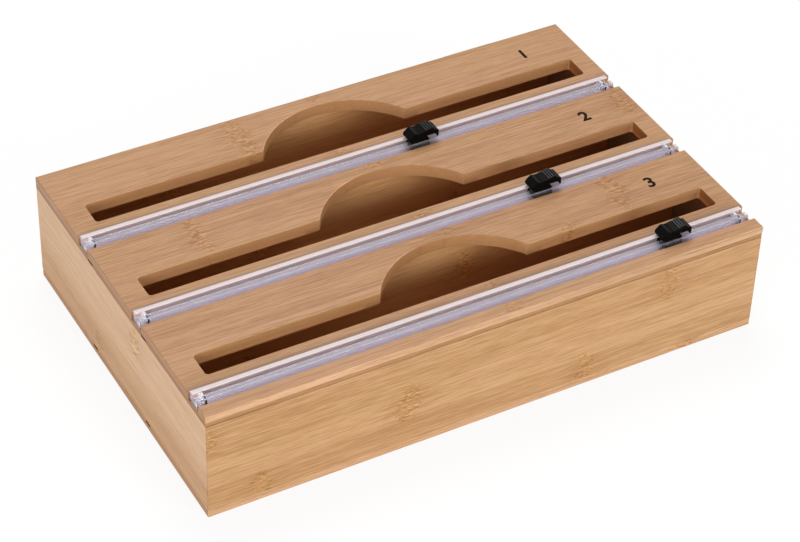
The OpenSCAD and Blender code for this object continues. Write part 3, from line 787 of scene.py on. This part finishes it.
def moulded_plastic(name, dark, light, gloss, shine):
    """Plastic from a mould with a fine spark finish. gloss gives the least and most roughness."""
    material, tree, surface = new_material(name, Specular_IOR_Level=shine)
    where = add(tree, "ShaderNodeTexCoord")
    spark = add(tree, "ShaderNodeTexNoise", {"Vector": where.outputs["Object"], "Scale": SPARK_RATE, "Detail": 2.0})
    cloud = add(tree, "ShaderNodeTexNoise", {"Vector": where.outputs["Object"], "Scale": CLOUD_RATE, "Detail": 2.0})
    tint = blend_colour(tree, cloud.outputs["Fac"], dark, light)
    tree.links.new(tint, surface.inputs["Base Color"])
    rough = add(tree, "ShaderNodeMapRange", {"Value": cloud.outputs["Fac"], "To Min": gloss[0], "To Max": gloss[1]})
    tree.links.new(rough.outputs["Result"], surface.inputs["Roughness"])
    bump = add(tree, "ShaderNodeBump", {"Height": spark.outputs["Fac"], "Strength": 0.25, "Distance": 0.03 * MM})
    tree.links.new(bump.outputs["Normal"], surface.inputs["Normal"])
    return material


stop_milky = moulded_plastic("milky stop", (0.84, 0.82, 0.86, 1.0), (0.92, 0.90, 0.94, 1.0), (0.30, 0.40), 0.5)
tape_foam = foam_tape()
grip_black = moulded_plastic(
    "black grip", (0.0015, 0.0015, 0.0015, 1.0), (0.003, 0.003, 0.003, 1.0), (0.24, 0.32), 0.04)
# Paler black on the rib tops: a painted highlight.
rib_painted_highlight = moulded_plastic(
    "black with painted highlight", (0.020, 0.020, 0.021, 1.0), (0.034, 0.034, 0.035, 1.0), (0.22, 0.30), 0.15)
print("tape and moulded plastics ready")

# %% Rails, tape and stops
RAIL_EDGE = 0.18
STOP_EDGE = 0.15
LIP_DEPTH = 0.9
LOOKS = 0.5
LEANS = 0.2
MILKY_WITH_REFLECTION, PAINTED_LILAC, EDGE = 1, 2, 3


def dress_rail(rail, node):
    """Gives a rail's floor, its back lip and wall, and its front edge their own plastics, with painted reflection and
    shade.
    """
    low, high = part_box(node)
    middle, under_lips = (low.y + high.y) / 2, high.z - LIP_DEPTH * MM
    for plastic in (rail_milky_with_painted_reflection, rail_painted_lilac, rail_painted_edge_shade):
        rail.data.materials.append(plastic)
    for face in rail.data.polygons:
        behind, inside = face.center.y > middle, face.center.z < under_lips
        if face.normal.z > LOOKS and inside:
            face.material_index = PAINTED_LILAC
        elif behind and (face.normal.z > LOOKS or face.normal.y < -LOOKS):
            face.material_index = MILKY_WITH_REFLECTION
        elif face.normal.y < -LEANS and face.normal.z > LEANS:
            face.material_index = EDGE


for bay in BAYS:
    rail = softened(f"rail_{bay}", RAIL_EDGE, rail_clear)
    dress_rail(rail, f"rail_{bay}")
    softened(f"rail_stops_{bay}", STOP_EDGE, stop_milky)
    nodes[f"rail_tape_{bay}"].data.materials.clear()
    nodes[f"rail_tape_{bay}"].data.materials.append(tape_foam)
print(len(BAYS), "rails with tape and stops")

# %% [markdown]
# ## Slide cutters
#
# A cutter's grip and shoe are black plastic with small moulded radii, which catch the light along the ribs and the
# nose. The tops of the ribs get a paler black, a painted highlight. The blade between grip and shoe is thin
# ground steel. Metals get fine grinding lines: noise stretched along one axis that changes the roughness.

# %% Metals


def ground_metal(name, dark, light, lines, gloss):
    """Bare metal with fine grinding lines. lines scales the noise along each axis, per metre."""
    material, tree, surface = new_material(name, Metallic=1.0)
    where = add(tree, "ShaderNodeTexCoord")
    drawn = add(tree, "ShaderNodeMapping", {"Vector": where.outputs["Object"], "Scale": lines})
    scratch = noise(tree, drawn.outputs[0], 3.0, 0.6)
    tint = blend_colour(tree, scratch, dark, light)
    tree.links.new(tint, surface.inputs["Base Color"])
    rough = add(tree, "ShaderNodeMapRange", {"Value": scratch, "To Min": gloss[0], "To Max": gloss[1]})
    tree.links.new(rough.outputs["Result"], surface.inputs["Roughness"])
    bump = add(tree, "ShaderNodeBump", {"Height": scratch, "Strength": 0.15, "Distance": 0.01 * MM})
    tree.links.new(bump.outputs["Normal"], surface.inputs["Normal"])
    return material


blade_steel = ground_metal(
    "blade steel", (0.50, 0.51, 0.53, 1.0), (0.66, 0.67, 0.68, 1.0), (5000.0, 400.0, 500.0), (0.20, 0.34))
pin_steel = ground_metal(
    "pin steel", (0.46, 0.46, 0.47, 1.0), (0.60, 0.60, 0.61, 1.0), (3000.0, 500.0, 500.0), (0.25, 0.38))
hinge_nickel = ground_metal(
    "hinge nickel", (0.60, 0.56, 0.50, 1.0), (0.72, 0.68, 0.61, 1.0), (260.0, 3000.0, 3000.0), (0.24, 0.38))
magnet_nickel = ground_metal(
    "magnet nickel", (0.62, 0.61, 0.59, 1.0), (0.74, 0.73, 0.71, 1.0), (900.0, 900.0, 900.0), (0.16, 0.26))
print("metals ready")

# %% Cutters
GRIP_EDGE = 0.18
SHOE_EDGE = 0.15
RIB_COUNT = 5
RIB_PITCH = 1.4
RIBS_INSET = 3.2
RIB_TOP_SLOPE = 0.4


def wear_ribs(grip, node):
    """Gives the tops of a grip's ribs, which lie at an even pitch from its heel, a paler black as a painted
    highlight.
    """
    ribs_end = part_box(node)[1].x - RIBS_INSET * MM
    grip.data.materials.append(rib_painted_highlight)
    for face in grip.data.polygons:
        rib, across = divmod((ribs_end - face.center.x) / MM, RIB_PITCH)
        if 0 <= rib < RIB_COUNT and across < RIB_PITCH / 2 and face.normal.z > RIB_TOP_SLOPE:
            face.material_index = 1


for bay in BAYS:
    grip = softened(f"cutter_grip_{bay}", GRIP_EDGE, grip_black)
    wear_ribs(grip, f"cutter_grip_{bay}")
    softened(f"cutter_shoe_{bay}", SHOE_EDGE, grip_black)
    nodes[f"cutter_blade_{bay}"].data.materials.clear()
    nodes[f"cutter_blade_{bay}"].data.materials.append(blade_steel)
print(len(BAYS), "slide cutters")

# %% [markdown]
# ## Hinges, screws and magnets
#
# The hinges are small nickel-plated butt hinges. Their leaves and pins keep the CAD shape with softened edges. Each
# leaf is held by two countersunk screws with a cross recess. One screw is modelled, and Geometry Nodes set it at
# the four places of each row and turn each one by a chance amount, as screws end up when they are driven home.
# Plated disc magnets at the front hold the lid shut. They are plain discs, so only their edges are softened.

# %% Hinges and magnets
LEAF_EDGE = 0.2
PIN_EDGE = 0.2
MAGNET_EDGE = 0.25
for side in SIDES:
    softened(f"{side}_hinge_box_leaf", LEAF_EDGE, hinge_nickel)
    softened(f"{side}_hinge_lid_leaf", LEAF_EDGE, hinge_nickel)
    softened(f"{side}_hinge_pin", PIN_EDGE, pin_steel)
softened("box_magnets", MAGNET_EDGE, magnet_nickel)
softened("lid_magnets", MAGNET_EDGE, magnet_nickel)
print("hinges and magnets finished")

# %% One screw
HEAD_R = 2.0
SHANK_R = 1.1
HEAD_DEPTH = 1.0
SCREW_DEPTH = 7.0
RECESS_REACH = 1.15
RECESS_HALF_WIDTH = 0.24
RECESS_DEPTH = 0.8
RECESS_TAPER = 0.6
SCREW_SIDES = 32


def ring_of(skin, radius, depth):
    """A ring of vertices about the screw's axis, at a depth below its head, which faces +Y."""
    points = []
    for step in range(SCREW_SIDES):
        angle = math.tau * step / SCREW_SIDES
        points.append(skin.verts.new((radius * MM * math.cos(angle), -depth * MM, radius * MM * math.sin(angle))))
    return points


def join_rings(skin, first, second):
    for i, point in enumerate(first):
        after = (i + 1) % len(first)
        skin.faces.new((point, second[i], second[after], first[after]))


def cross_outline():
    """The twelve corners of a cross recess, round the screw's axis."""
    far, near = RECESS_REACH, RECESS_HALF_WIDTH
    arm = ((near, -near), (far, -near), (far, near))
    return [
        (x * math.cos(turn) - z * math.sin(turn), x * math.sin(turn) + z * math.cos(turn))
        for turn in (0, math.pi / 2, math.pi, 3 * math.pi / 2)
        for x, z in arm
    ]


def make_screw():
    skin = bmesh.new()
    rings = [ring_of(skin, r, d) for r, d in ((HEAD_R, 0), (SHANK_R, HEAD_DEPTH), (SHANK_R, SCREW_DEPTH))]
    for first, second in zip(rings, rings[1:]):
        join_rings(skin, first, second)
    skin.faces.new(rings[-1])
    mouth = [skin.verts.new((x * MM, 0, z * MM)) for x, z in cross_outline()]
    narrow = RECESS_TAPER
    floor = [skin.verts.new((x * MM * narrow, -RECESS_DEPTH * MM, z * MM * narrow)) for x, z in cross_outline()]
    join_rings(skin, mouth, floor)
    skin.faces.new(floor)
    rim = [edge for edge in skin.edges if all(v in rings[0] for v in edge.verts)]
    lip = [edge for edge in skin.edges if all(v in mouth for v in edge.verts)]
    bmesh.ops.triangle_fill(skin, edges=rim + lip, use_beauty=True)
    bmesh.ops.recalc_face_normals(skin, faces=skin.faces)
    mesh = bpy.data.meshes.new("screw")
    skin.to_mesh(mesh)
    skin.free()
    return bpy.data.objects.new("screw pattern", mesh)


screw_pattern = make_screw()
print("screw with", len(screw_pattern.data.polygons), "faces")

# %% Rows of screws
SCREW_SEED = 5


def make_screw_row():
    """A tree that sets a screw at both ends of two hinges, each turned by chance."""
    tree = bpy.data.node_groups.new("Screw row", "GeometryNodeTree")
    tree.interface.new_socket("Geometry", in_out="OUTPUT", socket_type="NodeSocketGeometry")
    for name, kind in (
        ("Screw", "NodeSocketObject"), ("Middle", VECTOR), ("Hinge spacing", NUMBER), ("Screw pitch", NUMBER),
        ("Seed", "NodeSocketInt"), ("Material", "NodeSocketMaterial"),
    ):
        tree.interface.new_socket(name, in_out="INPUT", socket_type=kind)
    source, result = tree.nodes.new("NodeGroupInput"), tree.nodes.new("NodeGroupOutput")

    def pair(spacing):
        half = add(tree, "ShaderNodeMath", {0: spacing, 1: -0.5}, operation="MULTIPLY").outputs[0]
        start = add(tree, "ShaderNodeCombineXYZ", {"X": half}).outputs[0]
        step = add(tree, "ShaderNodeCombineXYZ", {"X": spacing}).outputs[0]
        return add(tree, "GeometryNodeMeshLine", {"Count": 2, "Start Location": start, "Offset": step}).outputs[0]

    hinges = add(tree, "GeometryNodeInstanceOnPoints", {
        "Points": pair(source.outputs["Hinge spacing"]), "Instance": pair(source.outputs["Screw pitch"])})
    places = add(tree, "GeometryNodeRealizeInstances", {"Geometry": hinges.outputs[0]}).outputs[0]
    placed = add(tree, "GeometryNodeTransform", {"Geometry": places, "Translation": source.outputs["Middle"]})
    chance = add(tree, "FunctionNodeRandomValue", {"Seed": source.outputs["Seed"]}, data_type="FLOAT_VECTOR")
    chance.inputs["Min"].default_value = (0.0, 0.0, 0.0)
    chance.inputs["Max"].default_value = (0.0, math.tau, 0.0)
    info = add(tree, "GeometryNodeObjectInfo", {"Object": source.outputs["Screw"]})
    screws = add(tree, "GeometryNodeInstanceOnPoints", {
        "Points": placed.outputs[0], "Instance": info.outputs["Geometry"], "Rotation": chance.outputs["Value"]})
    real = add(tree, "GeometryNodeRealizeInstances", {"Geometry": screws.outputs[0]}).outputs[0]
    coated = add(tree, "GeometryNodeSetMaterial", {"Geometry": real, "Material": source.outputs["Material"]})
    tree.links.new(coated.outputs[0], result.inputs["Geometry"])
    return tree


def screw_row(node, seed):
    """The four screws of one CAD node, in its place."""
    low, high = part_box(node)
    leaf_low, leaf_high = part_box("left_hinge_box_leaf")
    hinge_spacing = -(leaf_low.x + leaf_high.x)
    middle = Vector(((low.x + high.x) / 2, high.y, (low.z + high.z) / 2))
    pitch = high.x - low.x - 2 * HEAD_R * MM - hinge_spacing
    values = {
        "Screw": screw_pattern, "Middle": middle, "Hinge spacing": hinge_spacing, "Screw pitch": pitch,
        "Seed": seed, "Material": hinge_nickel,
    }
    piece = bpy.data.objects.new(node + "_finished", bpy.data.meshes.new(node))
    bpy.context.collection.objects.link(piece)
    modifier = piece.modifiers.new("screws", "NODES")
    modifier.node_group = screw_tree
    for item in screw_tree.interface.items_tree:
        if item.in_out == "INPUT":
            modifier[item.identifier] = values[item.name]
    plain_mesh(piece)
    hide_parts(node)
    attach(piece, body_of_node[node])
    return piece


screw_tree = make_screw_row()
for seed, node in enumerate(("box_leaf_screws", "lid_leaf_screws"), SCREW_SEED):
    row = screw_row(node, seed)
    print(row.name, len(row.data.polygons), "faces")

# %% [markdown]
# ## Printed numbers
#
# The lid carries a plain printed mark beside each slot, so that every roll goes back to its own bay. Here the marks
# are the numbers of the bays. Text is the quickest way to a clean outline: it is made a mesh, set flat on the lid
# as a film of ink a few hundredths of a millimetre thick, and rides with the lid.

# %% Printed numbers
NUMBER_X = 143.5
NUMBER_BEHIND_SLOT = 26.0
NUMBER_SIZE = 12.6
NUMBER_WEIGHT = 0.38
INK_FILM = 0.03
INK_GRAIN = 1500.0
INK_SHADES = ((0.010, 0.006, 0.004, 1.0), (0.026, 0.017, 0.012, 1.0))
SLOT_NAMES = {1: "rear_slot", 2: "middle_slot", 3: "front_slot"}


def ink():
    material, tree, surface = new_material("black ink", Roughness=0.7, Specular_IOR_Level=0.05)
    where = add(tree, "ShaderNodeTexCoord")
    worn = add(tree, "ShaderNodeTexNoise", {"Vector": where.outputs["Object"], "Scale": INK_GRAIN, "Detail": 3.0})
    tint = blend_colour(tree, worn.outputs["Fac"], *INK_SHADES)
    tree.links.new(tint, surface.inputs["Base Color"])
    return material


def printed_number(bay, material):
    slot_middle = next(
        (box["box_m"][0][1] + box["box_m"][1][1]) / 2
        for box in frame["record"]["physics"]["openings"]
        if box["name"] == SLOT_NAMES[bay]
    )
    letter = bpy.data.curves.new(f"number_{bay}", "FONT")
    letter.body = str(bay)
    letter.size = NUMBER_SIZE * MM
    letter.align_x = "CENTER"
    letter.align_y = "CENTER"
    letter.extrude = INK_FILM * MM
    letter.offset = NUMBER_WEIGHT * MM
    draft = bpy.data.objects.new(f"number_{bay}_draft", letter)
    bpy.context.collection.objects.link(draft)
    graph = bpy.context.evaluated_depsgraph_get()
    mesh = bpy.data.meshes.new_from_object(draft.evaluated_get(graph), depsgraph=graph)
    bpy.data.objects.remove(draft)
    lid_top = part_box("lid_board")[1].z
    mesh.transform(Matrix.Translation((NUMBER_X * MM, slot_middle + NUMBER_BEHIND_SLOT * MM, lid_top)))
    mesh.materials.clear()
    mesh.materials.append(material)
    piece = bpy.data.objects.new(f"printed_number_{bay}", mesh)
    bpy.context.collection.objects.link(piece)
    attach(piece, "lid")
    return piece


black_ink = ink()
for bay in BAYS:
    number = printed_number(bay, black_ink)
    print(number.name, len(number.data.polygons), "faces")

# %% [markdown]
# ## Finish
#
# The view transform is Standard, so colours come out as they are written.

# %% Finish
bpy.context.scene.view_settings.view_transform = "Standard"
